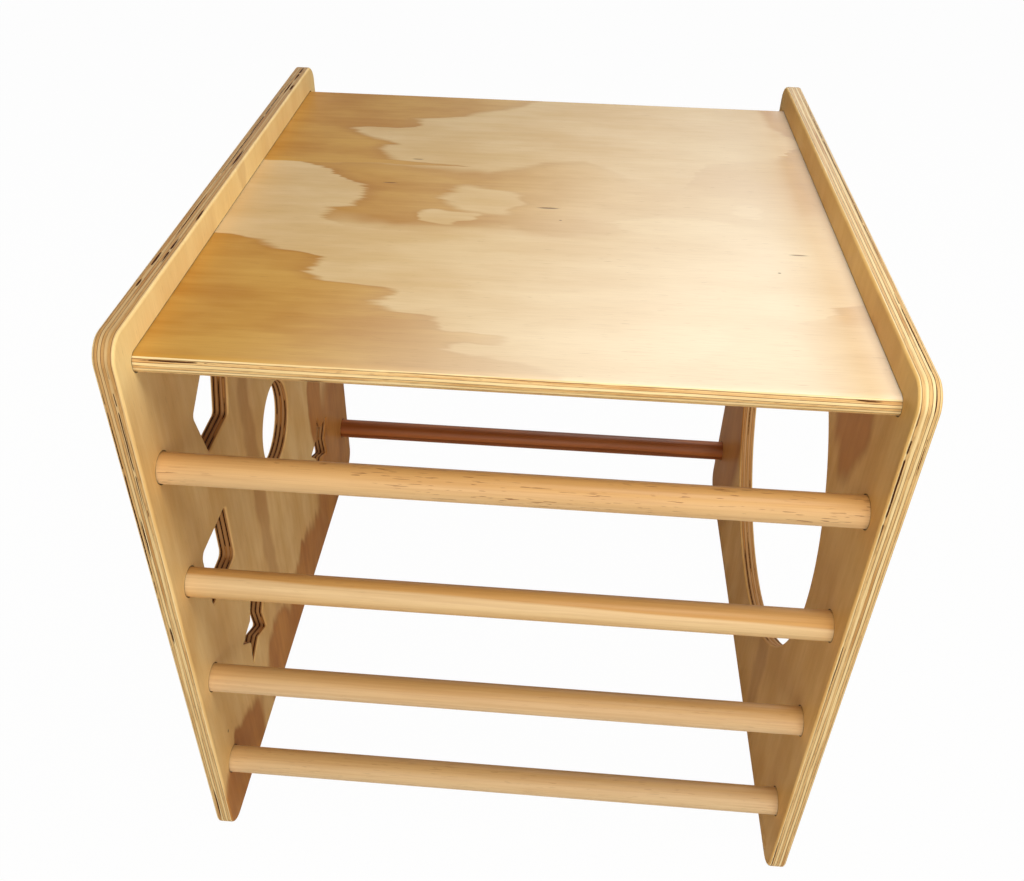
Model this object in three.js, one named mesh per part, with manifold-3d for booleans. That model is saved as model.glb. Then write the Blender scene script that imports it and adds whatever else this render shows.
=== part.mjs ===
// Climbing cube for small children: two plywood sides, a plywood top let into them, four front rungs and
// one rear rung. Everything is bolted from outside, with the bolt heads sunk flush in the sides.
// Millimetres. X runs to the right, Y to the back and Z up. The origin is on the floor under the middle.
import * as THREE from 'three';
import { mergeVertices } from 'three/addons/utils/BufferGeometryUtils.js';
import Module from 'manifold-3d';

const wasm = await Module();
wasm.setup();

// The sides
const overallWidth = 630;
const panelDepth = 656;
const panelHeight = 656;
const panelThickness = 18;
const panelCornerRadius = 22;
const panelEdgeRound = 3;

// Cut-outs: one crawl hole in the right side, small shapes in the left side
const crawlHoleDiameter = 438;
const circleDiameter = 104;
const squareSide = 72;
const squareCornerRadius = 6.5;
const pentagonRadius = 51.5;
const pentagonCornerRadius = 6;
const starRadius = 48;
const starNotchRadius = 24;
const starTipRound = 1.5;
const starNotchRound = 4;

// The top, which lies between the sides with its ends in two shallow housings
const topThickness = 18;
const topEdgeRound = 8;
const topDrop = 28;
const topFrontInset = 27;
const topRearInset = 20;
const housingDepth = 5;

// The rungs, which stand in blind sockets in the sides
const frontRungCount = 4;
const rungDiameter = 28;
const rungEndChamfer = 1;
const rungInset = 35;
const lowestRungHeight = 84.5;
const highestRungDrop = 120.5;
const rearRungHeight = 90;
const socketDepth = 8;

// The fixings
const boltDiameter = 6;
const boltHeadDiameter = 16;
const boltHeadHeight = 2.5;
const boltHeadChamfer = 0.7;
const boltKeyWidth = 4;
const boltKeyDepth = 1.8;
const rungBoltLength = 40;
const topBoltLength = 50;
const topBoltCount = 3;
const topBoltInset = 75;
const insertDiameter = 10;
const insertLength = 15;
const barrelNutDiameter = 10;
const barrelNutSink = 2;
const barrelNutCover = 3;
const barrelNutReach = 30;
const screwSlotWidth = 1.4;
const screwSlotDepth = 1.2;

// Clearances
const seatGap = 0.3;
const socketClearance = 0.4;
const boltClearance = 0.5;
const threadClearance = 0.3;
const headClearance = 0.4;
const tipClearance = 3;
const overrun = 2;

// How finely round shapes are stepped
const roundSteps = 2;
const cornerSteps = 6;
const smallCornerSteps = 3;
const starCornerSteps = 2;
const topEdgeSteps = 5;
const crawlHoleSteps = 60;
const circleSteps = 36;
const rungSteps = 24;
const socketSteps = 24;
const boltSteps = 14;
const headSteps = 18;
const nutSteps = 12;

// Sizes that follow from the ones above
const innerHalfWidth = overallWidth / 2 - panelThickness;
const topSurface = panelHeight - topDrop;
const topMiddle = topSurface - topThickness / 2;
const topFront = -panelDepth / 2 + topFrontInset;
const topRear = panelDepth / 2 - topRearInset;
const frontRungY = -panelDepth / 2 + rungInset;
const rearRungY = panelDepth / 2 - rungInset;
const rungPitch = (topSurface - highestRungDrop - lowestRungHeight) / (frontRungCount - 1);
const headSink = boltHeadHeight + seatGap;
const underHead = overallWidth / 2 - boltHeadHeight;
const rungEnd = innerHalfWidth + socketDepth - seatGap;
const topEnd = innerHalfWidth + housingDepth - seatGap;
const rungBoreDepth = rungBoltLength - (underHead - rungEnd) + tipClearance;
const boltHoleDiameter = boltDiameter + 2 * boltClearance;
const threadDiameter = boltDiameter + 2 * threadClearance;
const barrelNutLength = topThickness - barrelNutSink - barrelNutCover;

// Places of the small cut-outs from the side's middle, as shares of its half depth and half height
const cutoutPlaceShares = [
  { outline: circleOutline, depthShare: 0, heightShare: 0 },
  { outline: squareOutline, depthShare: -0.674, heightShare: 0 },
  { outline: squareOutline, depthShare: 0.674, heightShare: 0 },
  { outline: pentagonOutline, depthShare: -0.503, heightShare: 0.482 },
  { outline: pentagonOutline, depthShare: 0.503, heightShare: 0.482 },
  { outline: starOutline, depthShare: -0.503, heightShare: -0.51 },
  { outline: starOutline, depthShare: 0.503, heightShare: -0.51 },
];

// Materials
const sidePlywood = new THREE.MeshStandardMaterial({ color: 0xb98f5c, roughness: 0.62, metalness: 0 });
const topPlywood = new THREE.MeshStandardMaterial({ color: 0xe8c898, roughness: 0.58, metalness: 0 });
const pineDowel = new THREE.MeshStandardMaterial({ color: 0xdfb27a, roughness: 0.6, metalness: 0 });
const zincSteel = new THREE.MeshStandardMaterial({ color: 0xb9bbbd, roughness: 0.35, metalness: 1 });

const cube = new THREE.Group();

// Solids for cutting

function toSolid(geometry) {
  const bare = geometry.clone();
  bare.deleteAttribute('normal');
  bare.deleteAttribute('uv');
  const merged = mergeVertices(bare);
  const vertProperties = new Float32Array(merged.attributes.position.array);
  const triVerts = new Uint32Array(merged.index.array);
  return new wasm.Manifold(new wasm.Mesh({ numProp: 3, vertProperties, triVerts }));
}

function toGeometry(solid) {
  const mesh = solid.getMesh();
  const geometry = new THREE.BufferGeometry();
  geometry.setAttribute('position', new THREE.BufferAttribute(mesh.vertProperties, 3));
  geometry.setIndex(new THREE.BufferAttribute(mesh.triVerts, 1));
  const faceted = geometry.toNonIndexed();
  faceted.computeVertexNormals();
  return faceted;
}

// Outlines

function circlePoints(radius, steps, middle = new THREE.Vector2()) {
  const points = [];
  for (let i = 0; i < steps; i += 1) {
    const angle = (2 * Math.PI * i) / steps;
    points.push(new THREE.Vector2(radius * Math.cos(angle), radius * Math.sin(angle)).add(middle));
  }
  return points;
}

// Turns each corner of a polygon into an arc. Every corner is { point, round }.
function roundedPoints(corners, steps) {
  const points = [];
  corners.forEach(({ point, round }, i) => {
    const before = corners[(i + corners.length - 1) % corners.length].point;
    const after = corners[(i + 1) % corners.length].point;
    const toBefore = before.clone().sub(point).normalize();
    const toAfter = after.clone().sub(point).normalize();
    const halfAngle = Math.acos(toBefore.dot(toAfter)) / 2;
    const inward = toBefore.clone().add(toAfter).normalize();
    const middle = point.clone().addScaledVector(inward, round / Math.sin(halfAngle));
    const start = point.clone().addScaledVector(toBefore, round / Math.tan(halfAngle)).sub(middle);
    const turn = (Math.PI - 2 * halfAngle) * Math.sign(toAfter.cross(toBefore));
    for (let step = 0; step <= steps; step += 1) {
      const spoke = start.clone().rotateAround(new THREE.Vector2(), (turn * step) / steps);
      points.push(middle.clone().add(spoke));
    }
  });
  return points;
}

function rectanglePoints(lowY, lowZ, highY, highZ, round, steps) {
  const places = [[lowY, lowZ], [highY, lowZ], [highY, highZ], [lowY, highZ]];
  return roundedPoints(places.map(([y, z]) => ({ point: new THREE.Vector2(y, z), round })), steps);
}

function circleOutline(middle) {
  return circlePoints(circleDiameter / 2, circleSteps, middle);
}

function squareOutline(middle) {
  const half = squareSide / 2;
  const low = middle.clone().subScalar(half);
  const high = middle.clone().addScalar(half);
  return rectanglePoints(low.x, low.y, high.x, high.y, squareCornerRadius, smallCornerSteps);
}

function pointUp(radius, angle, middle) {
  return new THREE.Vector2(0, radius).rotateAround(new THREE.Vector2(), angle).add(middle);
}

function pentagonOutline(middle) {
  const corners = [];
  for (let i = 0; i < 5; i += 1) {
    const angle = (2 * Math.PI * i) / 5;
    corners.push({ point: pointUp(pentagonRadius, angle, middle), round: pentagonCornerRadius });
  }
  return roundedPoints(corners, smallCornerSteps);
}

function starOutline(middle) {
  const corners = [];
  for (let i = 0; i < 5; i += 1) {
    const angle = (2 * Math.PI * i) / 5;
    corners.push({ point: pointUp(starRadius, angle, middle), round: starTipRound });
    corners.push({ point: pointUp(starNotchRadius, angle + Math.PI / 5, middle), round: starNotchRound });
  }
  return roundedPoints(corners, starCornerSteps);
}

// Shapes drawn in the side's plane, as Y and Z, and given a thickness along X

function standUp(geometry, lowX) {
  const across = new THREE.Vector3(0, 1, 0);
  const up = new THREE.Vector3(0, 0, 1);
  const through = new THREE.Vector3(1, 0, 0);
  geometry.applyMatrix4(new THREE.Matrix4().makeBasis(across, up, through));
  return geometry.translate(lowX, 0, 0);
}

function prism(points, lowX, length) {
  const shape = new THREE.Shape(points);
  return standUp(new THREE.ExtrudeGeometry(shape, { depth: length, bevelEnabled: false }), lowX);
}

function slab(outline, holes, lowX, thickness, edgeRound) {
  const shape = new THREE.Shape(outline);
  shape.holes = holes.map((points) => new THREE.Path(points));
  const geometry = new THREE.ExtrudeGeometry(shape, {
    depth: thickness - 2 * edgeRound,
    bevelThickness: edgeRound,
    bevelSize: edgeRound,
    bevelOffset: -edgeRound,
    bevelSegments: roundSteps,
  });
  return standUp(geometry, lowX + edgeRound);
}

// A round cutter along X between two distances from the middle, on the right (1) or the left (-1)
function borer(radius, steps, side, nearX, farX, y, z) {
  const points = circlePoints(radius, steps, new THREE.Vector2(y, z));
  const lowX = side > 0 ? nearX : -farX;
  return toSolid(prism(points, lowX, farX - nearX));
}

// Rungs, and the places of the bolts

const rungs = [];
for (let i = 0; i < frontRungCount; i += 1) {
  rungs.push({ name: `front_rung_${i + 1}`, y: frontRungY, z: lowestRungHeight + rungPitch * i });
}
rungs.push({ name: 'rear_rung', y: rearRungY, z: rearRungHeight });

const topBoltYs = [];
for (let i = 0; i < topBoltCount; i += 1) {
  const first = topFront + topBoltInset;
  const last = topRear - topBoltInset;
  topBoltYs.push(first + ((last - first) * i) / (topBoltCount - 1));
}

const sides = [
  { name: 'left', sign: -1 },
  { name: 'right', sign: 1 },
];

// Side panels

function sidePanel({ name, sign }, holes) {
  const outline = rectanglePoints(
    -panelDepth / 2,
    0,
    panelDepth / 2,
    panelHeight,
    panelCornerRadius,
    cornerSteps,
  );
  const outerX = overallWidth / 2;
  const lowX = sign > 0 ? innerHalfWidth : -outerX;
  let solid = toSolid(slab(outline, holes, lowX, panelThickness, panelEdgeRound));

  const housing = rectanglePoints(
    topFront - seatGap,
    topSurface - topThickness - seatGap,
    topRear + seatGap,
    topSurface + seatGap,
    topEdgeRound + seatGap,
    topEdgeSteps,
  );
  const housingLowX = sign > 0 ? innerHalfWidth - overrun : -innerHalfWidth - housingDepth;
  solid = solid.subtract(toSolid(prism(housing, housingLowX, housingDepth + overrun)));

  const bolts = rungs.map(({ y, z }) => ({ y, z }));
  topBoltYs.forEach((y) => bolts.push({ y, z: topMiddle }));
  const socketRadius = rungDiameter / 2 + socketClearance;
  const socketEnd = innerHalfWidth + socketDepth;
  rungs.forEach(({ y, z }) => {
    const socket = borer(socketRadius, socketSteps, sign, innerHalfWidth - overrun, socketEnd, y, z);
    solid = solid.subtract(socket);
  });
  const headRadius = boltHeadDiameter / 2 + headClearance;
  bolts.forEach(({ y, z }) => {
    const hole = borer(boltHoleDiameter / 2, boltSteps, sign, innerHalfWidth, outerX, y, z);
    const recess = borer(headRadius, headSteps, sign, outerX - headSink, outerX + overrun, y, z);
    solid = solid.subtract(hole).subtract(recess);
  });

  const panel = new THREE.Mesh(toGeometry(solid), sidePlywood);
  panel.name = `side_panel_${name}`;
  return panel;
}

const cutouts = cutoutPlaceShares.map(({ outline, depthShare, heightShare }) => {
  const y = (depthShare * panelDepth) / 2;
  const z = ((1 + heightShare) * panelHeight) / 2;
  return outline(new THREE.Vector2(y, z));
});
const panelMiddle = new THREE.Vector2(0, panelHeight / 2);
const crawlHole = circlePoints(crawlHoleDiameter / 2, crawlHoleSteps, panelMiddle);
cube.add(sidePanel(sides[0], cutouts));
cube.add(sidePanel(sides[1], [crawlHole]));

// Top panel

function topPanel() {
  const profile = rectanglePoints(
    topFront,
    topSurface - topThickness,
    topRear,
    topSurface,
    topEdgeRound,
    topEdgeSteps,
  );
  let solid = toSolid(prism(profile, -topEnd, 2 * topEnd));
  const boltTip = underHead - topBoltLength;
  const nutX = topEnd - barrelNutReach;
  const nutRadius = barrelNutDiameter / 2 + seatGap;
  const boreDepth = barrelNutSink + barrelNutLength + seatGap;
  const boreLow = topSurface - topThickness - overrun;
  const boreGeometry = new THREE.CylinderGeometry(nutRadius, nutRadius, boreDepth + overrun, nutSteps);
  boreGeometry.rotateX(Math.PI / 2);
  sides.forEach(({ sign }) => {
    topBoltYs.forEach((y) => {
      const far = topEnd + overrun;
      const hole = borer(boltHoleDiameter / 2, boltSteps, sign, boltTip - tipClearance, far, y, topMiddle);
      const bore = boreGeometry.clone().translate(sign * nutX, y, boreLow + (boreDepth + overrun) / 2);
      solid = solid.subtract(hole).subtract(toSolid(bore));
    });
  });
  const panel = new THREE.Mesh(toGeometry(solid), topPlywood);
  panel.name = 'top_panel';
  return panel;
}

cube.add(topPanel());

// Rungs: a dowel with chamfered ends, bored at both ends for an insert nut and the bolt's tip

function rungGeometry() {
  const radius = rungDiameter / 2;
  const boreRadius = insertDiameter / 2 + seatGap;
  const profile = [
    new THREE.Vector2(0, -rungEnd + rungBoreDepth),
    new THREE.Vector2(boreRadius, -rungEnd + rungBoreDepth),
    new THREE.Vector2(boreRadius, -rungEnd),
    new THREE.Vector2(radius - rungEndChamfer, -rungEnd),
    new THREE.Vector2(radius, -rungEnd + rungEndChamfer),
    new THREE.Vector2(radius, rungEnd - rungEndChamfer),
    new THREE.Vector2(radius - rungEndChamfer, rungEnd),
    new THREE.Vector2(boreRadius, rungEnd),
    new THREE.Vector2(boreRadius, rungEnd - rungBoreDepth),
    new THREE.Vector2(0, rungEnd - rungBoreDepth),
  ];
  return new THREE.LatheGeometry(profile, rungSteps);
}

const dowel = rungGeometry();
rungs.forEach(({ name, y, z }) => {
  const rung = new THREE.Mesh(dowel, pineDowel);
  rung.name = name;
  rung.position.set(0, y, z);
  rung.rotation.z = Math.PI / 2;
  cube.add(rung);
});

// Bolts: a flat head with a hexagon socket on a plain shank, the underside of the head at zero

function boltGeometry(length) {
  const shank = boltDiameter / 2;
  const head = boltHeadDiameter / 2;
  const profile = [
    new THREE.Vector2(0, -length),
    new THREE.Vector2(shank, -length),
    new THREE.Vector2(shank, 0),
    new THREE.Vector2(head, 0),
    new THREE.Vector2(head, boltHeadHeight - boltHeadChamfer),
    new THREE.Vector2(head - boltHeadChamfer, boltHeadHeight),
    new THREE.Vector2(0, boltHeadHeight),
  ];
  const body = toSolid(new THREE.LatheGeometry(profile, boltSteps));
  const keyRadius = boltKeyWidth / Math.sqrt(3);
  const key = new THREE.CylinderGeometry(keyRadius, keyRadius, boltKeyDepth + overrun, 6);
  key.translate(0, boltHeadHeight - boltKeyDepth + (boltKeyDepth + overrun) / 2, 0);
  return toGeometry(body.subtract(toSolid(key)));
}

function placeOutward(mesh, sign, x, y, z) {
  mesh.position.set(sign * x, y, z);
  mesh.rotation.z = (-sign * Math.PI) / 2;
  cube.add(mesh);
}

const rungBolt = boltGeometry(rungBoltLength);
rungs.forEach(({ name, y, z }) => {
  sides.forEach((side) => {
    const bolt = new THREE.Mesh(rungBolt, zincSteel);
    bolt.name = `${name}_bolt_${side.name}`;
    placeOutward(bolt, side.sign, underHead, y, z);
  });
});

const topBolt = boltGeometry(topBoltLength);
sides.forEach((side) => {
  topBoltYs.forEach((y, i) => {
    const bolt = new THREE.Mesh(topBolt, zincSteel);
    bolt.name = `top_bolt_${side.name}_${i + 1}`;
    placeOutward(bolt, side.sign, underHead, y, topMiddle);
  });
});

// Insert nuts: a threaded sleeve in each end of each rung, its outer end flush with the rung's

function insertGeometry() {
  const outer = insertDiameter / 2;
  const bore = threadDiameter / 2;
  const profile = [
    new THREE.Vector2(bore, -insertLength),
    new THREE.Vector2(outer, -insertLength),
    new THREE.Vector2(outer, 0),
    new THREE.Vector2(bore, 0),
    new THREE.Vector2(bore, -insertLength),
  ];
  return new THREE.LatheGeometry(profile, nutSteps);
}

const insert = insertGeometry();
rungs.forEach(({ name, y, z }) => {
  sides.forEach((side) => {
    const nut = new THREE.Mesh(insert, zincSteel);
    nut.name = `${name}_insert_${side.name}`;
    placeOutward(nut, side.sign, rungEnd, y, z);
  });
});

// Barrel nuts: upright in the top, drilled across for the bolt, with a screwdriver slot underneath

function barrelNutGeometry() {
  const radius = barrelNutDiameter / 2;
  const middle = topSurface - topThickness + barrelNutSink + barrelNutLength / 2;
  const low = middle - barrelNutLength / 2;
  const body = new THREE.CylinderGeometry(radius, radius, barrelNutLength, nutSteps);
  body.rotateX(Math.PI / 2).translate(0, 0, middle - topMiddle);
  const threadRadius = threadDiameter / 2;
  const cross = new THREE.CylinderGeometry(threadRadius, threadRadius, 2 * barrelNutDiameter, boltSteps);
  cross.rotateZ(Math.PI / 2);
  const slot = new THREE.BoxGeometry(2 * barrelNutDiameter, screwSlotWidth, 2 * screwSlotDepth);
  slot.translate(0, 0, low - topMiddle);
  return toGeometry(toSolid(body).subtract(toSolid(cross)).subtract(toSolid(slot)));
}

const barrelNut = barrelNutGeometry();
sides.forEach((side) => {
  topBoltYs.forEach((y, i) => {
    const nut = new THREE.Mesh(barrelNut, zincSteel);
    nut.name = `top_barrel_nut_${side.name}_${i + 1}`;
    nut.position.set(side.sign * (topEnd - barrelNutReach), y, topMiddle);
    cube.add(nut);
  });
});

export default cube;
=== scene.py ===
import math
import bmesh
import bpy
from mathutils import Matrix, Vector


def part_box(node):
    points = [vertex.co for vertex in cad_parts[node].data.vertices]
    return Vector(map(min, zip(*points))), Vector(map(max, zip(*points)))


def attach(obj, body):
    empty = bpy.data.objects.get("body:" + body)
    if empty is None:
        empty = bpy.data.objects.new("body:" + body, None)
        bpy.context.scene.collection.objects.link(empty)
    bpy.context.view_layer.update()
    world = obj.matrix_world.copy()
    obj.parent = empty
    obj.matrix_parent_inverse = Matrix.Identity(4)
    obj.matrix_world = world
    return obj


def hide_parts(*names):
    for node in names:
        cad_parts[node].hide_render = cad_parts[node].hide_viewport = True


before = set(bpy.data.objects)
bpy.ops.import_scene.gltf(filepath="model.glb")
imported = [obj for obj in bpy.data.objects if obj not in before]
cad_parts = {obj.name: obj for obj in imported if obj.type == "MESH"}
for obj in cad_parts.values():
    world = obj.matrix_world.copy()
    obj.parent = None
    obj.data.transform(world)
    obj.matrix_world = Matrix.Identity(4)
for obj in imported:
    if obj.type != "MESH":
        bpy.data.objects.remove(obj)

# Climbing cube: plywood sides and top, round pine rungs, bolts sunk in the sides.
# Metres. X to the right, Y to the back, Z up, and the floor at zero.

mm = 0.001
across = Vector((1, 0, 0))
upward = Vector((0, 0, 1))
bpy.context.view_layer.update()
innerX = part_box('side_panel_right')[0].x
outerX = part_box('side_panel_right')[1].x
panelLow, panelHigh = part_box('side_panel_left')
topLow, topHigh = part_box('top_panel')
rungNodes = ['front_rung_1', 'front_rung_2', 'front_rung_3', 'front_rung_4', 'rear_rung']
sides = {'left': -1, 'right': 1}
topBoltNumbers = [1, 2, 3]


def tone(code):  # a colour as it shows on screen, such as 'e8c898', in Blender's linear values
    shown = [int(code[i:i + 2], 16) / 255 for i in (0, 2, 4)]
    linear = [c / 12.92 if c <= 0.04045 else ((c + 0.055) / 1.055) ** 2.4 for c in shown]
    return (*linear, 1)


def middleOf(name):
    low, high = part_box(name)
    return (low + high) / 2


# Camera, where the photograph was taken from

cameraSetup = {
    'place': (0.03636, -0.92018, 1.0693),
    'turnDegrees': (54.001, -0.86, 4.429),
    'lens': 34.951,
    'sensorWidth': 36,
    'shift': (0.0091, -0.0512),
    'clipEnd': 50,
}


def makeCamera(setup):
    data = bpy.data.cameras.new('camera')
    data.sensor_width = setup['sensorWidth']
    data.lens = setup['lens']
    data.shift_x, data.shift_y = setup['shift']
    data.clip_end = setup['clipEnd']
    made = bpy.data.objects.new('camera', data)
    made.location = setup['place']
    made.rotation_euler = [math.radians(angle) for angle in setup['turnDegrees']]
    bpy.context.scene.collection.objects.link(made)
    bpy.context.scene.camera = made


makeCamera(cameraSetup)
print('camera set')

# Short ways to write nodes


def feed(tree, socket, value):  # a socket takes a link or a plain value
    if isinstance(value, bpy.types.NodeSocket):
        tree.links.new(value, socket)
    else:
        socket.default_value = value


def node(tree, kind, feeds=(), **settings):
    made = tree.nodes.new(kind)
    for name, value in settings.items():
        setattr(made, name, value)
    for socket, value in feeds:
        feed(tree, made.inputs[socket], value)
    return made


def maths(tree, operation, *values):
    return node(tree, 'ShaderNodeMath', enumerate(values), operation=operation).outputs[0]


def plus(tree, first, second):
    return maths(tree, 'ADD', first, second)


def minus(tree, first, second):
    return maths(tree, 'SUBTRACT', first, second)


def times(tree, first, second):
    return maths(tree, 'MULTIPLY', first, second)


def restOf(tree, share):  # what a share leaves of 1
    return minus(tree, 1.0, share)


def higher(tree, first, second, blur=0.0):  # the larger value, with a soft change where there is blur
    if first is None:
        return second
    if blur:
        return maths(tree, 'SMOOTH_MAX', first, second, blur)
    return maths(tree, 'MAXIMUM', first, second)


def vectors(tree, operation, *values):
    return node(tree, 'ShaderNodeVectorMath', enumerate(values), operation=operation).outputs[0]


def measure(tree, operation, *values):
    return node(tree, 'ShaderNodeVectorMath', enumerate(values), operation=operation).outputs['Value']


def joined(tree, x, y, z):
    return node(tree, 'ShaderNodeCombineXYZ', enumerate((x, y, z))).outputs[0]


def blend(tree, amount, first, second):
    feeds = [(0, amount), (6, first), (7, second)]
    return node(tree, 'ShaderNodeMix', feeds, data_type='RGBA').outputs[2]


def between(tree, amount, codes):  # a colour between two tones
    return blend(tree, amount, tone(codes[0]), tone(codes[1]))


def mixed(tree, amount, first, second):  # the same for plain values
    feeds = [(0, amount), (2, first), (3, second)]
    return node(tree, 'ShaderNodeMix', feeds, data_type='FLOAT').outputs[0]


def ranged(tree, value, low, high, lowIn=0.0, highIn=1.0):  # low at lowIn, high at highIn
    feeds = [(0, value), (1, lowIn), (2, highIn), (3, low), (4, high)]
    return node(tree, 'ShaderNodeMapRange', feeds).outputs[0]


def rise(tree, value, low, high):  # 0 below low, 1 above high, smooth in between
    feeds = [(0, value), (1, low), (2, high)]
    return node(tree, 'ShaderNodeMapRange', feeds, interpolation_type='SMOOTHSTEP').outputs[0]


def noise(tree, place, stretch, detail=2.0, roughness=0.5):
    spread = vectors(tree, 'MULTIPLY', place, stretch)
    feeds = [('Vector', spread), ('Scale', 1.0), ('Detail', detail), ('Roughness', roughness)]
    return node(tree, 'ShaderNodeTexNoise', feeds).outputs[0]


def pattern(tree, place, look, seed=0):  # noise as its look says, turned into patches where that has a rise
    x, y, z = look['stretch']
    value = noise(tree, place, (x, y, z + seed), look.get('detail', 2.0), look.get('roughness', 0.5))
    return rise(tree, value, *look['rise']) if 'rise' in look else value


def swing(tree, value, amount):  # noise as a shift round zero, about half of amount each way
    return times(tree, minus(tree, value, 0.5), amount)


def drawnLine(tree, value, points):  # follows the pairs of points from value to a place
    lowIn, highIn = points[0][0], points[-1][0]
    lowOut, highOut = min(out for _, out in points), max(out for _, out in points)
    line = node(tree, 'ShaderNodeFloatCurve', [('Value', ranged(tree, value, 0.0, 1.0, lowIn, highIn))])
    spots = line.mapping.curves[0].points
    while len(spots) < len(points):
        spots.new(0.5, 0.5)
    for spot, (x, y) in zip(spots, points):
        spot.location = ((x - lowIn) / (highIn - lowIn), (y - lowOut) / (highOut - lowOut))
        spot.handle_type = 'VECTOR'
    line.mapping.update()
    return ranged(tree, line.outputs[0], lowOut, highOut)


def newMaterial(name):
    made = bpy.data.materials.new(name)
    made.use_nodes = True
    return made, made.node_tree, made.node_tree.nodes['Principled BSDF']


def objectPlace(tree):
    place = node(tree, 'ShaderNodeTexCoord').outputs['Object']
    split = node(tree, 'ShaderNodeSeparateXYZ', [(0, place)])
    return place, split.outputs


def roughen(tree, shader, height, depth):  # bump, with its full depth in metres
    bump = node(tree, 'ShaderNodeBump', [('Height', height), ('Strength', 1.0), ('Distance', depth)])
    tree.links.new(bump.outputs[0], shader.inputs['Normal'])


# Plywood. The face veneer has pale sapwood and amber heartwood patches with ragged ends along the
# grain. Its edge shows the plies, every second one end grain, with glue lines, cracks and open gaps.
# A stretch is how fine a pattern is on each axis, in steps to the metre.

veneer = {
    'deepening': 10.0,  # 1 for each 100 mm inside a front
    'bandShare': 0.35,  # and less inside the band's lower edge, which is soft
    'bandBlur': 0.1,
    'patchBlur': 0.12,
    'isletShare': 0.4,
    'ragged': {'stretch': (7, 42, 0), 'detail': 1.0},
    'fray': {'stretch': (30, 230, 1)},
    'drift': {'stretch': (14, 26, 2)},
    'driftWidth': 16 * mm,
    'tear': {'stretch': (11, 60, 9), 'detail': 1.0},
    'sideTear': {'stretch': (16, 12, 10)},
    'sideTearWidth': 30 * mm,
    'outerFigure': {'stretch': (2.2, 7.5, 3), 'detail': 1.0},  # outer faces have no drawn patches
    'outerLevel': 0.56,
    'outerDeepening': 4.0,
    'softness': {'stretch': (9, 9, 8)},  # how blurred the figure's edges are, here and there
    'softnessRange': (0.35, 0.75),
    'softnessMore': 0.25,
    'rimReach': 0.35,
    'rimShare': 0.50,
    'cloud': {'stretch': (7, 19, 4), 'detail': 3.0, 'roughness': 0.55, 'rise': (0.30, 0.70)},
    'cloudShare': 0.76,
    'streak': {'stretch': (3, 130, 5), 'detail': 3.0, 'roughness': 0.6, 'rise': (0.30, 0.70)},
    'faintReach': 0.45,
    'faintShare': 0.50,
    'fleck': '8a5a2c',
    'flecks': {'stretch': (60, 900, 7), 'detail': 1.0, 'rise': (0.70, 0.78)},
    'fleckShare': 0.30,
    'pores': {'stretch': (34, 1100, 6)},
    'poreRise': (0.45, 0.75),
    'poreShare': 0.10,
    'poreDepth': 0.12,
    'knot': '5e3a1c',
    'knotReach': 0.6,
    'knotShare': 0.75,
    'knotDepth': 0.35,
}
edge = {
    'long': ('f2daa4', 'dfbd80'),
    'end': ('e2bf83', 'c9985a'),
    'amber': 'a96c2a',
    'glue': '6c3f16',
    'gap': ('48240e', '1c0d05'),
    # the burnt tone is partly painted shade on the cut-out walls
    'burntAndShaded': 'ac6423',
    'skin': 1.5 * mm,
    'skinBlur': 0.15 * mm,
    'wave': {'stretch': (9, 9, 0)},
    'waveShare': 0.5,  # of a ply
    'streak': {'stretch': (12, 12, 1900), 'detail': 3.0, 'roughness': 0.6, 'rise': (0.32, 0.68)},
    'marks': {'stretch': (110, 110, 900), 'rise': (0.50, 0.72)},
    'marksShare': 0.30,
    'stain': {'stretch': (8, 8, 5.7), 'rise': (0.52, 0.70)},
    'stainShares': (0.15, 0.40),  # in every ply, and more in end grain
    'burntAndShadedShare': 0.80,
    'glueHere': {'stretch': (11, 11, 3.7), 'detail': 4.0, 'roughness': 0.65, 'rise': (0.32, 0.54)},
    'glueRise': (0.36, 0.47),
    'glueShare': 0.88,
    'glueDepth': 0.15,
    'gapSeed': 9.3,
    'gapLimit': 0.60,
    'gapOpening': 5.0,
    'gapWidths': (0.17, 0.12),  # half of the widest as a share of a ply, and more where burnt
    'gapBlur': 0.08,
    'splinters': {'stretch': (320, 320, 700)},
    'splinterShare': 0.35,
    'crackWave': {'stretch': (30, 30, 0), 'detail': 3.0},
    'crackWaveWidth': 1.2 * mm,
    'crackBreaks': {'stretch': (75, 75, 5), 'rise': (0.55, 0.80)},
    'crackReach': 0.45,
}
# painted shade along the joints: its rounding, half width, blur, depths and share
jointShadeSizes = {
    'topRound': 8 * mm,
    'half': 0.7 * mm,
    'paintedFade': 0.9 * mm,
    'depths': (2 * mm, 3 * mm),
    'share': 0.8,
}
lacquer = {
    'middleShares': (0.49, 0.51),  # of the thickness, where the inner face's look gives way to the outer's
    'routedReach': (300 * mm, 310 * mm),  # from the panel's middle, with every cut-out nearer to it
    'bumpDepth': 0.6 * mm,
    'cloud': {'stretch': (9, 9, 9)},
    'roughness': (0.36, 0.50),
    'burntDullness': 0.7,
    'dullness': 0.45,
    'specular': 0.12,
}

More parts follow.
